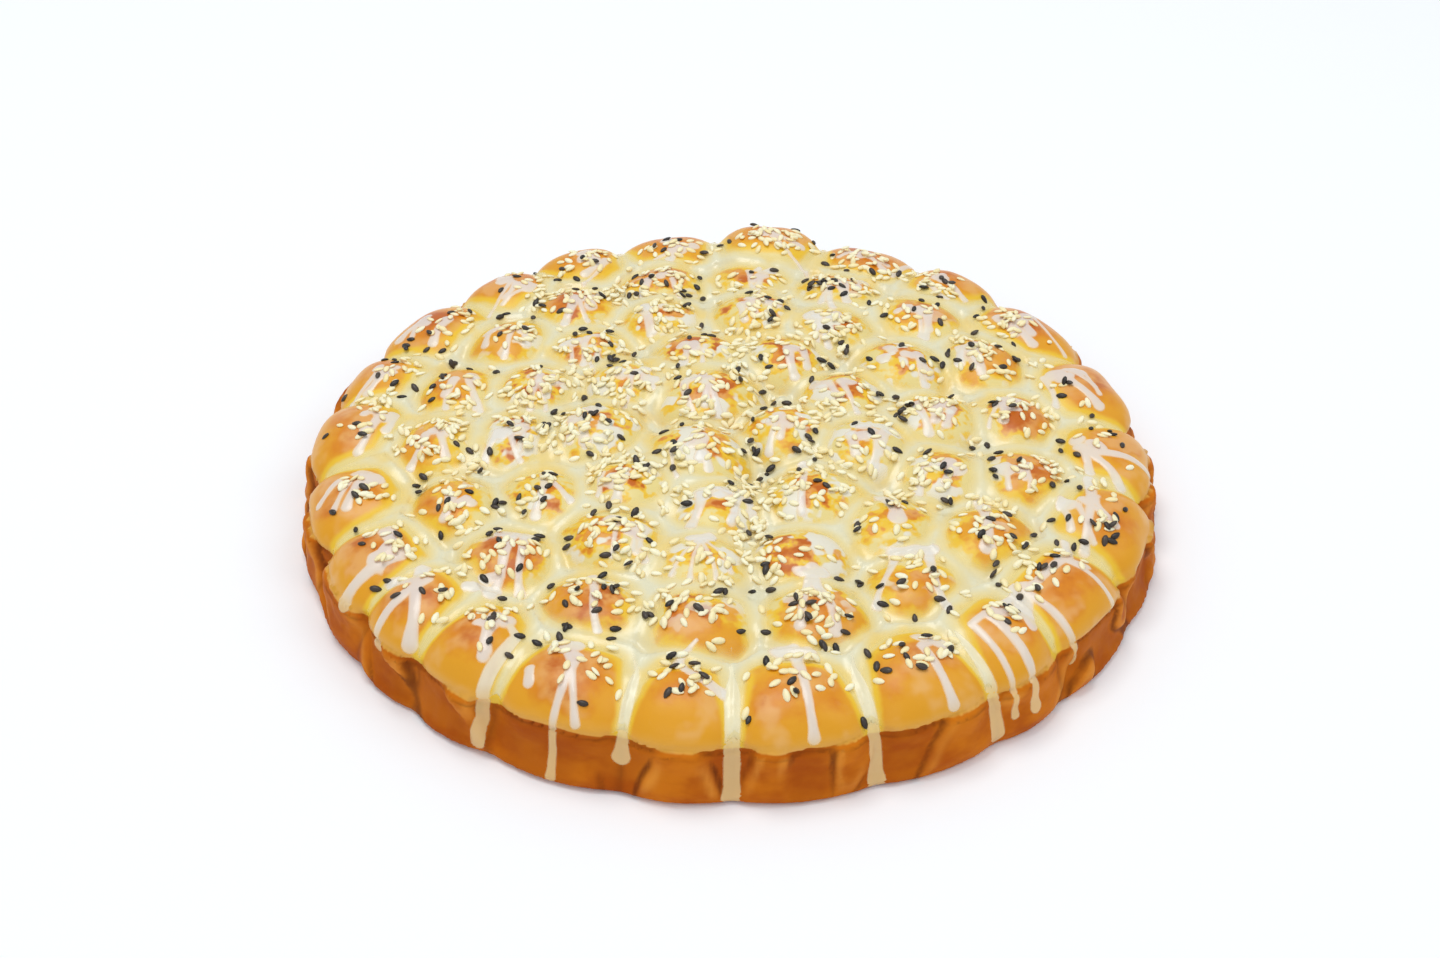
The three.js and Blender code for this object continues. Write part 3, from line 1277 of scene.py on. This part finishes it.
@dataclass
class Glaze:
    """The glaze: pools in the dips, drizzle over the crowns, and runs down the side."""

    crust: Crust
    pool_blend: float = 4.3
    pool_edge: float = 0.9
    pool_wave: Grain = Grain(12.0, 2.2)
    pool_ripple: Grain = Grain(4.0, 6.1)
    pool_sink: float = 0.5
    pool_limit: float = 0.955
    rim_hold: float = 1.3
    front_reach: float = 40.0
    shell: float = 0.7
    smallest_patch: int = 16
    rise: float = 0.18
    tallest_half: float = 1.7
    seed: int = 515
    flare: float = 0.45
    drop_length: float = 2.2
    pool_taper: float = 12.0
    patch_share: float = 0.84
    edge_ripple: Grain = Grain(3.4, 12.0)
    edge_wave: Grain = Grain(8.0, 31.0)
    streak_ragged: float = 0.3
    blend: float = 0.35
    margin: float = 0.6
    own_reach: float = 11.0
    inner_share: float = 0.62
    shoulder: float = 0.84
    hub_share: float = 0.8
    hub_height: float = 6.0
    hub_rise: float = 19.0
    shoulder_steps: int = 12
    last_turn: float = 4.0
    top_step: float = 3.0
    side_step: float = 2.0
    streak_step: float = 2.0
    outside: float = 1.5
    streaks: tuple[Streak, ...] = (
        Streak((-0.65, -0.50), (-0.655, -0.69), 3.7),
        Streak((-0.745, -0.47), (-0.72, -0.435), 7.6, False),
        Streak((-0.55, -0.56), (-0.49, -0.57), 5.0, False),
        Streak((-0.515, -0.535), (-0.485, -0.53), 4.6, False),
        Streak((-0.345, -0.74), (-0.31, -0.745), 5.6, False),
        Streak((-0.33, -0.75), (-0.305, -0.915), 2.4),
        Streak((-0.40, -0.80), (-0.40, -0.83), 4.0, False),
        Streak((0.10, -0.755), (0.15, -0.765), 6.4, False),
        Streak((0.385, -0.715), (0.42, -0.725), 6.2, False),
        Streak((0.595, -0.56), (0.61, -0.66), 7.2, False),
        Streak((0.72, -0.40), (0.716, -0.48), 3.4, False),
        Streak((0.805, -0.18), (0.76, -0.42), 3.0),
        Streak((0.345, -0.48), (0.30, -0.62), 2.4),
        Streak((0.42, -0.46), (0.445, -0.63), 2.8),
        Streak((0.35, -0.455), (0.43, -0.45), 5.4, False),
        Streak((0.555, -0.27), (0.545, -0.45), 3.6),
        Streak((0.17, -0.52), (0.138, -0.70), 2.7),
        Streak((0.17, -0.52), (0.21, -0.71), 3.2),
        Streak((0.15, -0.53), (0.19, -0.53), 5.4, False),
        Streak((-0.070, -0.735), (-0.098, -0.77), 2.2, False),
        Streak((-0.098, -0.77), (-0.103, -0.80), 2.6, False),
        Streak((-0.103, -0.80), (-0.065, -0.835), 3.0, False),
        Streak((-0.060, -0.835), (-0.020, -0.865), 4.6, False),
        Streak((-0.065, -0.42), (-0.125, -0.545), 1.6),
        Streak((-0.065, -0.42), (-0.085, -0.56), 1.7),
        Streak((-0.065, -0.42), (-0.03, -0.555), 1.7),
        Streak((-0.065, -0.42), (0.0, -0.53), 1.7),
        Streak((-0.085, -0.425), (-0.045, -0.42), 5.0, False),
        Streak((-0.412, -0.19), (-0.425, -0.33), 3.0),
        Streak((-0.412, -0.19), (-0.35, -0.29), 2.4),
        Streak((-0.47, -0.42), (-0.50, -0.58), 3.4),
        Streak((-0.44, -0.42), (-0.44, -0.57), 2.6),
        Streak((-0.49, -0.40), (-0.43, -0.405), 6.0, False),
        Streak((0.164, -0.15), (0.155, -0.33), 2.6),
        Streak((-0.29, -0.54), (-0.27, -0.70), 2.6),
        Streak((0.34, -0.26), (0.36, -0.36), 4.6),
    )
    runs: tuple[Run, ...] = (
        Run((-0.745, -0.37), 213, 15, 4.0),
        Run((-0.71, -0.53), 221, 12, 3.4),
        Run((-0.49, -0.61), 238.8, 3, 4.2, 0.6),
        Run((-0.347, -0.74), 248.8, 1.5, 2.5),
        Run((-0.20, -0.72), 257, 8, 3.8, 0.9),
        Run((0.0, -0.74), 270, 1.5, 4.8, 1.0),
        Run((0.125, -0.75), 279.5, 15, 2.8),
        Run((0.235, -0.72), 287, 1.5, 4.2, 0.9),
        Run((0.40, -0.72), 297, 17, 2.9),
        Run((0.45, -0.69), 303, 3, 3.8, 0.9),
        Run((0.59, -0.585), 305.5, 4, 2.3),
        Run((0.61, -0.64), 308.5, 6, 3.2),
        Run((0.715, -0.46), 317, 9, 2.7),
        Run((0.75, -0.485), 326, 14.5, 2.6),
    )
    back_runs: tuple[Run, ...] = (
        Run((0.835, -0.088), 354, 12.4, 3.3),
        Run((0.435, 0.72), 58.8, 7.4, 2.4),
        Run((-0.547, 0.638), 130.6, 14.4, 2.3),
    )
    beads: list[Bead] = field(init=False, default_factory=list)

    def pool_depth(self, points: Array) -> Array:
        """Works out how glaze settles between the balls, held back from the rim but not in front.

        Args:
            points: Where to measure.

        Returns:
            How deep the glaze stands over each point, less than 0 where there is none.
        """
        x, y = points[:, 0], points[:, 1]
        domes = FORM.domes(x, y)
        top = domes.max(axis=0)
        settled = self.pool_blend * np.log(np.exp((domes - top) / self.pool_blend).sum(axis=0))
        flat = rows_of(x, y)
        edge = self.pool_edge + 0.55 * self.pool_wave.at(flat) + 0.25 * self.pool_ripple.at(flat)
        radius, angle = round_places(points)
        in_front = smoothstep(0, 12, self.front_reach - np.abs(angle % 360 - FRONT))
        held_back = self.rim_hold - in_front
        return settled - edge - held_back * smoothstep(0.8, 0.94, radius / FORM.base_radius)

    def hit(
        self, tree: BVHTree, spot: Sequence[float], height: float = SKY, way: Sequence[float] = DOWN
    ) -> Array:
        """Finds where a ray meets the crust.

        Args:
            tree: The crust's faces.
            spot: The x and y that the ray starts at.
            height: The height that it starts at.
            way: The ray's direction.

        Returns:
            The place, in millimetres.
        """
        start = Vector((spot[0], spot[1] + FORM.ring_middle_y, height)) * MM
        place, _, _, _ = tree.ray_cast(start, Vector(way))
        found = np.array(place) / MM
        found[1] -= FORM.ring_middle_y
        return found

    def streak_bead(self, streak: Streak, tree: BVHTree, draws: Draws) -> Bead:
        """Lays a streak on the crust, slightly bent.

        Args:
            streak: The streak or patch.
            tree: The crust's faces.
            draws: Where small differences come from.

        Returns:
            The bead.
        """
        first = np.array(streak.start) * FORM.base_radius
        way = np.array(streak.end) * FORM.base_radius - first
        length = np.hypot(*way)
        share = np.linspace(0, 1, max(4, int(length / self.streak_step)))
        sideways = np.array([-way[1], way[0]]) / length
        bend = draws.spread(0.05) * np.sin(share * math.pi)
        bend = bend + draws.spread(0.025) * np.sin(share * 2 * math.pi)
        plan = first + share[:, None] * way + length * bend[:, None] * sideways
        path = np.array([self.hit(tree, spot) for spot in plan])
        if streak.sharp:
            return self.sharp_bead(path, streak.width, draws)
        return Bead(path, np.full_like(share, self.patch_share * streak.width / 2), 0.0, 1.0)

    def run_bead(self, run: Run, tree: BVHTree, draws: Draws) -> Bead:
        """Lays a run over the shoulder and down the side.

        Rays fall on the top as far as the shoulder. From there they turn round a hub inside the
        crust, and then they come level from outside.

        Args:
            run: The run.
            tree: The crust's faces.
            draws: Where small differences come from.

        Returns:
            The bead.
        """
        scale = FORM.base_radius
        first = np.array(run.start) * scale
        shoulder = np.array(polar(self.shoulder * scale, run.angle))
        steps = max(3, int(np.hypot(*(shoulder - first)) / self.top_step))
        shares = np.linspace(0, 1, steps)[:-1]
        line = [self.hit(tree, first + share * (shoulder - first)) for share in shares]
        steepest = math.degrees(math.atan2(self.hub_rise, (self.shoulder - self.hub_share) * scale))
        hub = np.array([*polar(self.hub_share * scale, run.angle), self.hub_height])
        for turn in np.linspace(steepest, self.last_turn, self.shoulder_steps):
            level = polar(math.cos(math.radians(turn)), run.angle)
            way = np.array([*level, math.sin(math.radians(turn))])
            out = hub + SKY * way
            line.append(self.hit(tree, out[:2], out[2], tuple(-way)))
        inwards = (*(-np.array(polar(1, run.angle))), 0)
        for height in np.arange(self.hub_height, run.foot, -self.side_step)[1:]:
            line.append(self.hit(tree, polar(self.outside * scale, run.angle), height, inwards))
        path = np.array([point for point in line if point[2] >= run.foot - 0.1])
        return self.sharp_bead(path, run.width, draws, run)

    def sharp_bead(self, path: Array, width: float, draws: Draws, run: Run | None = None) -> Bead:
        """Gives a path its width, with a round drop at its end.

        Args:
            path: The middle line on the crust.
            width: The width along the middle stretch.
            draws: Where small differences come from.
            run: The run that this is, if it is one.

        Returns:
            The bead. It widens towards its start, or tapers to nothing there if it leaves a pool.
        """
        share = np.linspace(0, 1, len(path))
        length = np.linalg.norm(np.diff(path, axis=0), axis=1).sum()
        drop = (0.25 + 0.2 * draws.draw()) * bell((share - 1) * length, 0, self.drop_length)
        if run and run.from_pool():
            start = 0.1 + 0.8 * smoothstep(0, self.pool_taper, share * length)
        else:
            start = 0.9 + self.flare * (1 - share) ** 3
        return Bead(path, width / 2 * (start + drop), run.creamy if run else 0.0, self.streak_ragged)

    def splash(self, ball: Ball, draws: Draws) -> list[Streak]:
        """Draws the drizzle on one ball: patches near its crown, with legs that run to the front.

        Args:
            ball: The ball.
            draws: Where the shape comes from.

        Returns:
            The patches and the legs.
        """
        x, y = ball.spot()
        x, y = x + draws.spread(3.0), y + 2 + draws.spread(2.0)
        outer = ball.radius > 0.7 * FORM.base_radius
        lean = 0.25 * ((ball.angle - 90) % 360 - 180) if outer else 0.0
        widest, longest = (4.0, 11) if outer else (2.6, 8)
        marks = []
        for _ in range(2 + int(draws.draw() * 3)):
            spot = np.array([x + draws.spread(4.5), y + draws.spread(3.0)])
            size = 3.2 + widest * draws.draw()
            marks.append((spot, np.array([draws.spread(2.5), draws.spread(2.0)]), size, False))
        for _ in range(2 + int(draws.draw() * 3.2)):
            foot = np.array([x + draws.spread(6.0), y + draws.spread(1.5)])
            reach = 7 + longest * draws.draw() ** 1.5
            way = np.array(polar(reach, FRONT + lean + draws.spread(20)))
            marks.append((foot, way, 1.6 + 1.6 * draws.draw(), True))
        scale = FORM.base_radius
        return [
            Streak(tuple(start / scale), tuple((start + way) / scale), width, sharp)
            for start, way, width, sharp in marks
        ]

    def lay_beads(self) -> None:
        """Lays all the drizzle and runs: those seen in front, and drawn ones on the other balls."""
        tree = BVHTree.FromObject(self.crust.piece, bpy.context.evaluated_depsgraph_get())
        draws = Draws(self.seed)
        streaks = list(self.streaks)
        ends = [spot for streak in self.streaks for spot in (streak.start, streak.end)]
        ends += [run.start for run in self.runs if not run.from_pool()]
        taken = np.array(ends) * FORM.base_radius
        for ball in FORM.balls:
            x, y = ball.spot()
            if np.hypot(taken[:, 0] - x, taken[:, 1] - y).min() > self.own_reach:
                streaks += self.splash(ball, draws)
        self.beads = [self.streak_bead(streak, tree, draws) for streak in streaks]
        self.beads += [self.run_bead(run, tree, draws) for run in self.runs + self.back_runs]

    def drizzle_depth(self, points: Array, beads: Sequence[Bead]) -> tuple[Array, Array, Array]:
        """Measures the drizzle over each point.

        Args:
            points: Where to measure.
            beads: The drizzle.

        Returns:
            How many millimetres inside the drizzle's edge each point is, how high the drizzle stands
            there, and how creamy it is.
        """
        depth = np.full(len(points), FAR_OUTSIDE)
        height = np.full(len(points), -self.shell / 2)
        creamy = np.zeros(len(points))
        for bead in beads:
            reach = bead.half.max() * 1.5 + 2 * self.margin
            low, high = bead.path.min(axis=0) - reach, bead.path.max(axis=0) + reach
            near = np.flatnonzero(np.all((points > low) & (points < high), axis=1))
            if len(near) == 0:
                continue
            wobble = 0.35 * self.edge_ripple.at(points[near]) + 0.4 * self.edge_wave.at(points[near])
            inside, half = bead.inside(points[near], wobble)
            creamy[near] = np.where(inside > depth[near], bead.creamy, creamy[near])
            depth[near] = smooth_max(depth[near], inside, self.blend)
            share = np.clip(inside / half, -1, 1)
            round_top = np.where(share > 0, share * (2 - share), 2 * share)
            lift = self.rise * np.minimum(half, self.tallest_half) * (1 - 0.7 * bead.creamy) * round_top
            height[near] = smooth_max(height[near], lift, 0.1)
        return depth, height, creamy

    def close(self, piece: bpy.types.Object) -> None:
        """Trims a skin of glaze and gives it its thickness, downwards into the crust."""
        trim_scraps(piece, self.smallest_patch)
        finish_with(piece, "SOLIDIFY", thickness=self.shell * MM, offset=-1.0, use_rim=True)

    def build(self) -> list[bpy.types.Object]:
        """Makes the pools and the drizzle.

        Returns:
            The pools, the drizzle in the middle, and the drizzle on the outer ring and the side.
        """
        self.lay_beads()
        limit = self.inner_share * FORM.base_radius
        inner = [bead for bead in self.beads if np.hypot(*bead.path[0, :2]) < limit]
        outer = [bead for bead in self.beads if np.hypot(*bead.path[0, :2]) >= limit]
        return [
            self.pools(),
            self.drizzle("glaze_drizzle_middle", inner),
            self.drizzle("glaze_drizzle_rim", outer),
        ]

    def pools(self) -> bpy.types.Object:
        """Makes the glaze that stands in the dips.

        Returns:
            The pools.
        """
        piece = copy_of(self.crust.piece, "glaze_pools")
        points = points_of(piece)
        depth = self.pool_depth(points)
        radius, _ = round_places(points)
        kept = (depth > -self.pool_sink) & (points[:, 2] > FORM.band_height - 0.5)
        kept &= radius / FORM.base_radius < self.pool_limit
        keep_points(piece, kept)
        depth = depth[kept]
        note_on(piece, "thickness", depth)
        points = points_of(piece)
        points[:, 2] += depth
        move_points(piece, points)
        self.close(piece)
        return piece

    def drizzle(self, name: str, beads: Sequence[Bead]) -> bpy.types.Object:
        """Makes a piece of drizzle.

        Args:
            name: The piece's name.
            beads: The streaks, patches and runs that it holds.

        Returns:
            The piece.
        """
        piece = copy_of(self.crust.piece, name)
        depth, _, _ = self.drizzle_depth(points_of(piece), beads)
        keep_points(piece, depth > -2 * self.margin)
        halve_grain(piece)
        points = points_of(piece)
        depth, height, creamy = self.drizzle_depth(points, beads)
        on_top = points[:, 2] > FORM.band_height + 1
        points[:, 2] += np.where(on_top, np.maximum(self.pool_depth(points), 0), 0)
        low = 1 - smoothstep(13.0, 19.0, points[:, 2])
        points += normals_of(piece) * (height * (1 - 0.4 * low))[:, None]
        points[:, 2] = np.maximum(points[:, 2], 0.05)
        note_on(piece, "thickness", depth)
        note_on(piece, "low", low)
        note_on(piece, "creamy", creamy)
        move_points(piece, points)
        keep_points(piece, depth > -self.margin)
        finish_with(piece, "SMOOTH", factor=0.5, iterations=2)
        self.close(piece)
        return piece


@dataclass
class Seeds:
    """Seeds of one kind strewn over the top, in one piece."""

    kind: SeedKind
    count: int
    length: float
    width: float
    thickness: float
    seed: int
    sides: int = 7
    rings: int = 5
    pinch: float = 0.3
    ceiling: float = CAD_BOX[1][2] / MM + 0.6
    crowd_reach: float = 1.7
    most_under: int = 2
    batch: int = 4000

    def model(self) -> tuple[Array, Array]:
        """Models one seed, pointed at one end.

        The sphere's faces come in an order that differs from run to run, so they are sorted.

        Returns:
            Its points in millimetres, and its faces as rows of corners with -1 for none.
        """
        deselect_all()
        bpy.ops.mesh.primitive_uv_sphere_add(
            segments=self.sides, ring_count=self.rings, radius=1, rotation=(math.pi / 2, 0, 0)
        )
        seed = bpy.context.object
        bpy.ops.object.transform_apply(rotation=True)
        points = np.array([vertex.co[:] for vertex in seed.data.vertices])
        narrowed = 1 - self.pinch * np.clip(points[:, 1], 0, 1) ** 1.2
        points[:, 0] *= self.width / 2 * narrowed
        points[:, 2] *= self.thickness / 2 * narrowed
        points[:, 1] *= self.length / 2
        corners = sorted(list(face.vertices) for face in seed.data.polygons)
        faces = np.array([row + [-1] * (4 - len(row)) for row in corners])
        bpy.ops.object.delete()
        return points, faces

    def liking(self, x: Array, y: Array) -> Array:
        """Works out how likely a seed is to stay where it falls.

        White seeds crowd the middle and the crowns, and black ones the outer crowns in front.

        Args:
            x: Places along X.
            y: Places along Y.

        Returns:
            The chance at each place, from 0 to 1.
        """
        share = np.hypot(x, y) / FORM.base_radius
        away = np.stack([ball.away(x, y) for ball in FORM.balls]).min(axis=0)
        crown = 1 - smoothstep(0.05, 0.5, away)
        middle = 1 - smoothstep(0.2, 0.7, share)
        if self.kind is SeedKind.WHITE:
            clump = Grain(13.0, 40.0).at(rows_of(x, y))
            on_crown = 0.8 - 0.6 * middle + 0.3 * bell(share, 0.66, 0.08)
            chance = -0.03 + 0.6 * middle + on_crown * crown + 1.5 * clump
            last, none = 0.84, 0.93
        else:
            clump = Grain(13.0, 80.0).at(rows_of(x, y))
            in_front = bell(share, 0.77, 0.09) * smoothstep(-0.4, 0.4, -y / FORM.base_radius)
            chance = 0.32 - 0.08 * middle + 0.15 * crown + 1.3 * clump + in_front * (0.15 + 0.6 * crown)
            last, none = 0.88, 0.97
        return np.clip(chance, 0.02, 1) * (1 - smoothstep(last, none, share))

    def places(self) -> Array:
        """Draws the places where seeds lie.

        Returns:
            Rows of x and y.
        """
        random = np.random.RandomState(self.seed)
        kept = np.zeros((0, 2))
        while len(kept) < self.count:
            spot = random.uniform(-1, 1, (self.batch, 2)) * FORM.base_radius * 0.95
            chance = random.uniform(0, 1, self.batch)
            kept = np.concatenate([kept, spot[chance < self.liking(spot[:, 0], spot[:, 1])]])
        return kept[:self.count]

    def laid(
        self, shape: Array, place: Vector, normal: Vector, under: int, random: np.random.RandomState
    ) -> Array:
        """Lays one seed, lifted and tilted more where others lie under it.

        Args:
            shape: The seed's own points.
            place: Where it lies.
            normal: The normal of what it lies on.
            under: How many seeds lie there already.
            random: Where its size, heading and tilt come from.

        Returns:
            Its points in place.
        """
        size = random.uniform(0.85, 1.12)
        heading = random.uniform(0, 2 * math.pi)
        tilt = Vector(random.normal(0, 0.13 + 0.12 * under, 3))
        up = (normal + tilt).normalized()
        ahead = Vector((math.cos(heading), math.sin(heading), 0))
        ahead = (ahead - up * ahead.dot(up)).normalized()
        middle = np.array(place) + np.array(up) * (self.thickness * (0.18 + 0.5 * under))
        points = size * (shape @ np.array([ahead.cross(up), ahead, up])) + middle
        points[:, 2] -= max(0.0, points[:, 2].max() - self.ceiling)
        return points

    def build(self, grounds: Sequence[bpy.types.Object], taken: list[Vector]) -> bpy.types.Object:
        """Lays the seeds on the pieces below.

        Args:
            grounds: The pieces that seeds can lie on.
            taken: Where seeds lie already, which this adds to.

        Returns:
            The piece that holds all seeds of this kind.
        """
        depsgraph = bpy.context.evaluated_depsgraph_get()
        trees = [BVHTree.FromObject(ground, depsgraph) for ground in grounds]
        shape, faces = self.model()
        random = np.random.RandomState(self.seed + 1)
        all_points, all_faces, tones = [], [], []
        for x, y in self.places():
            above = Vector((x, y + FORM.ring_middle_y, SKY)) * MM
            hits = [tree.ray_cast(above, Vector(DOWN)) for tree in trees]
            place, normal, _, _ = max((hit for hit in hits if hit[0]), key=lambda hit: hit[0].z)
            place = place / MM
            crowd = sum((other.xy - place.xy).length < self.crowd_reach for other in taken)
            all_faces.append(np.where(faces < 0, -1, faces + len(shape) * len(all_points)))
            all_points.append(self.laid(shape, place, normal, min(crowd, self.most_under), random))
            tones.append(np.full(len(shape), random.uniform(0, 1)))
            taken.append(place)
        points = (np.concatenate(all_points) * MM).tolist()
        rows = [[corner for corner in face if corner >= 0] for face in np.concatenate(all_faces).tolist()]
        mesh = bpy.data.meshes.new(self.kind.value)
        mesh.from_pydata(points, [], rows)
        mesh.update()
        piece = bpy.data.objects.new(self.kind.value, mesh)
        bpy.context.scene.collection.objects.link(piece)
        note_on(piece, "tone", np.concatenate(tones))
        return piece


@dataclass(frozen=True)
class Lamp:
    """A soft square lamp that faces the bun: its place and side in metres, and its power in watts."""

    place: tuple[float, float, float]
    size: float
    power: float
    colour: Colour

    def hang(self) -> None:
        """Adds the lamp."""
        bpy.ops.object.light_add(type="AREA", location=self.place)
        lamp = bpy.context.object
        lamp.data.shape = "SQUARE"
        lamp.data.size = self.size
        lamp.data.energy = self.power
        lamp.data.color = self.colour
        lamp.rotation_euler = (-Vector(self.place)).to_track_quat("-Z", "Y").to_euler()


@dataclass
class Studio:
    """Plain pale floor, soft light, and the camera at the photo's angle.

    The camera's distance and aim are in base radii, from the middle of the rings.
    """

    elevation: float = 37.2
    distance: float = 4.5
    aim: tuple[float, float] = (-0.023, 0.07)
    lens: float = 46.6
    sensor: float = 36.0
    floor_size: float = 8.0
    floor_drop: float = 0.0002
    floor_colour: Colour = (0.975, 0.972, 0.985)
    air_colour: Colour = (0.86, 0.94, 1.0)
    air_strength: float = 0.63
    lamps: tuple[Lamp, ...] = (
        Lamp((-0.25, 0.25, 1.5), 0.8, 9.4, (1.0, 0.985, 0.96)),
        Lamp((0.9, -0.2, 1.2), 0.9, 2.5, (1.0, 1.0, 1.0)),
        Lamp((-0.3, -1.2, 1.0), 0.9, 2.0, (1.0, 0.99, 0.97)),
    )

    def camera(self) -> None:
        """Sets the camera."""
        radius = FORM.base_radius * MM
        tilt = math.radians(self.elevation)
        back = self.aim[1] - self.distance * math.cos(tilt)
        bpy.ops.object.camera_add(
            location=(
                self.aim[0] * radius,
                back * radius + FORM.ring_middle_y * MM,
                self.distance * math.sin(tilt) * radius,
            ),
            rotation=(math.pi / 2 - tilt, 0, 0),
        )
        camera = bpy.context.object
        camera.data.lens = self.lens
        camera.data.sensor_width = self.sensor
        camera.data.clip_start = 0.01
        bpy.context.scene.camera = camera

    def floor(self) -> None:
        """Lays the floor, just under the bun."""
        bpy.ops.mesh.primitive_plane_add(size=self.floor_size, location=(0, 0, -self.floor_drop))
        floor = bpy.context.object
        floor.name = "floor"
        material = Material("floor_finish")
        material.set(Base_Color=self.floor_colour, Roughness=0.9)
        floor.data.materials.append(material.data)

    def air(self) -> None:
        """Fills the room with even light."""
        world = bpy.data.worlds.new("studio_air")
        world.use_nodes = True
        background = world.node_tree.nodes["Background"]
        background.inputs[0].default_value = (*self.air_colour, 1.0)
        background.inputs[1].default_value = self.air_strength
        bpy.context.scene.world = world
        bpy.context.scene.view_settings.view_transform = "Standard"

    def build(self) -> None:
        """Sets up the camera, floor and light."""
        deselect_all()
        self.camera()
        deselect_all()
        self.floor()
        for lamp in self.lamps:
            lamp.hang()
        self.air()


def main() -> None:
    """Builds and dresses every piece."""
    logging.basicConfig(level=logging.INFO, format="%(name)s: %(message)s")
    Studio().build()
    crust = Crust()
    crust.build()
    pools, *drizzle = Glaze(crust).build()
    grounds = [crust.piece, pools, *drizzle]
    taken: list[Vector] = []
    white = Seeds(SeedKind.WHITE, count=2100, length=3.25, width=1.85, thickness=0.95, seed=7)
    black = Seeds(SeedKind.BLACK, count=405, length=3.0, width=1.75, thickness=1.05, seed=11)
    white_piece = white.build(grounds, taken)
    black_piece = black.build(grounds, taken)
    dress(crust.piece, CrustFinish().make(), Slot.CRUST)
    dress(pools, POOL_FINISH.make(), Slot.GLAZE)
    drizzle_finish = DRIZZLE_FINISH.make()
    for piece in drizzle:
        dress(piece, drizzle_finish, Slot.GLAZE)
    dress(white_piece, WHITE_FINISH.make(), Slot.WHITE_SEED)
    dress(black_piece, BLACK_FINISH.make(), Slot.BLACK_SEED)


if __name__ == "__main__":
    main()
